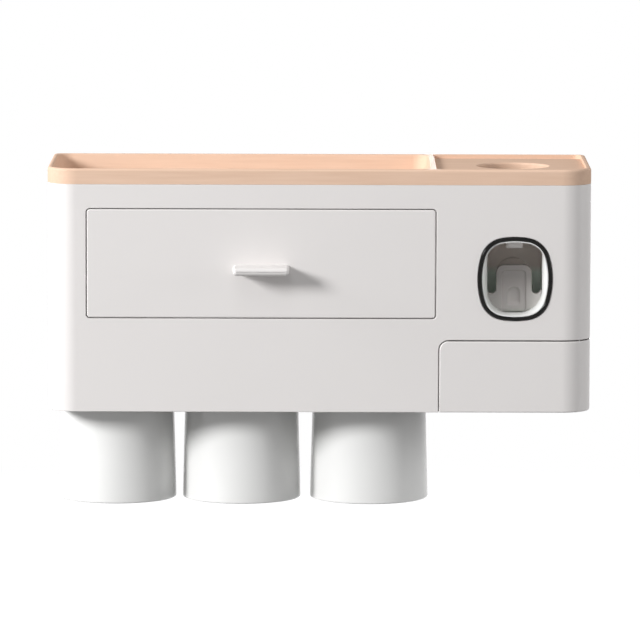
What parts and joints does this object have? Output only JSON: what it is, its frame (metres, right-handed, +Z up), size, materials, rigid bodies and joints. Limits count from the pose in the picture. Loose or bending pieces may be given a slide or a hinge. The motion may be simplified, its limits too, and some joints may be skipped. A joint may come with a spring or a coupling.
{
  "type": "toothpaste dispenser",
  "caption": "Wall-mounted bathroom organiser with push-lever toothpaste pump, drawer, top tray, flip-up brush cover and hanging magnetic cups.",
  "frame": {"origin": "middle of the wall bracket's adhesive face, on the wall", "axes": "+X to the right seen from the front, +Y into the wall, +Z up"},
  "size_m": [0.322, 0.121, 0.2021],
  "materials": {
    "white_plastic": "satin moulded",
    "peach_plastic": "satin, faint wood grain",
    "white_gloss": "polished moulded",
    "black_gloss": "high gloss",
    "grey_plastic": "satin moulded",
    "dark_plastic": "satin moulded",
    "silicone": "soft matte",
    "steel": "zinc plated",
    "adhesive": "foam tape"
  },
  "bodies": {
    "case": {"case_shell": "white_plastic", "top_tray": "peach_plastic", "inner_frame": "white_plastic", "back_panel": "white_plastic", "back_panel_screws": "steel", "wall_bracket": "white_plastic", "adhesive_pad": "adhesive", "cup_magnets": "steel", "magnet_caps": "white_plastic", "brush_rack": "white_plastic", "brush_rack_screws": "steel", "window_bezel": "black_gloss", "window_liner": "white_gloss", "pump_body": "dark_plastic", "pump_cover": "dark_plastic", "pump_cover_screws": "steel", "pump_screws": "steel", "tube_seal": "silicone", "inlet_valve": "silicone", "paste_nozzle": "grey_plastic", "lever_pin": "steel", "cover_hinge_pins": "steel", "pump_bellows": "silicone"},
    "drawer": {"drawer_front": "white_plastic", "drawer_box": "white_plastic", "drawer_handle": "white_plastic", "handle_screws": "steel", "drawer_screws": "steel"},
    "lever": {"push_lever": "grey_plastic"},
    "plunger": {"piston": "grey_plastic", "piston_seal": "silicone"},
    "flap": {"brush_cover": "white_plastic"},
    "left_cup": {"cup_left": "white_gloss", "keeper_left": "steel"},
    "middle_cup": {"cup_middle": "white_gloss", "keeper_middle": "steel"},
    "right_cup": {"cup_right": "white_gloss", "keeper_right": "steel"}
  },
  "joints": [
    {"name": "drawer_slide", "type": "slide", "parent": "case", "child": "drawer", "axis": [0, -1, 0], "range_m": [0, 0.068]},
    {"name": "lever_tilt", "type": "hinge", "parent": "case", "child": "lever", "pos_m": [0.1158, -0.079, -0.0361], "axis": [-1, 0, 0], "range_deg": [0, 18], "stiffness_Nm_per_rad": 0.25},
    {"name": "plunger_slide", "type": "slide", "parent": "case", "child": "plunger", "axis": [0, 1, 0], "range_m": [0, 0.0068], "deforming": ["pump_bellows"]},
    {"name": "flap_hinge", "type": "hinge", "parent": "case", "child": "flap", "pos_m": [0.1158, -0.0991, -0.0464], "axis": [-1, 0, 0], "range_deg": [0, 85]},
    {"name": "left_cup_pull", "type": "slide", "parent": "case", "child": "left_cup", "axis": [0, 0, -1], "range_m": [0, 0.11]},
    {"name": "middle_cup_pull", "type": "slide", "parent": "case", "child": "middle_cup", "axis": [0, 0, -1], "range_m": [0, 0.11]},
    {"name": "right_cup_pull", "type": "slide", "parent": "case", "child": "right_cup", "axis": [0, 0, -1], "range_m": [0, 0.11]}
  ],
  "couplings": [
    {"joint": "plunger_slide", "follows": "lever_tilt", "m_per_rad": 0.0208}
  ]
}
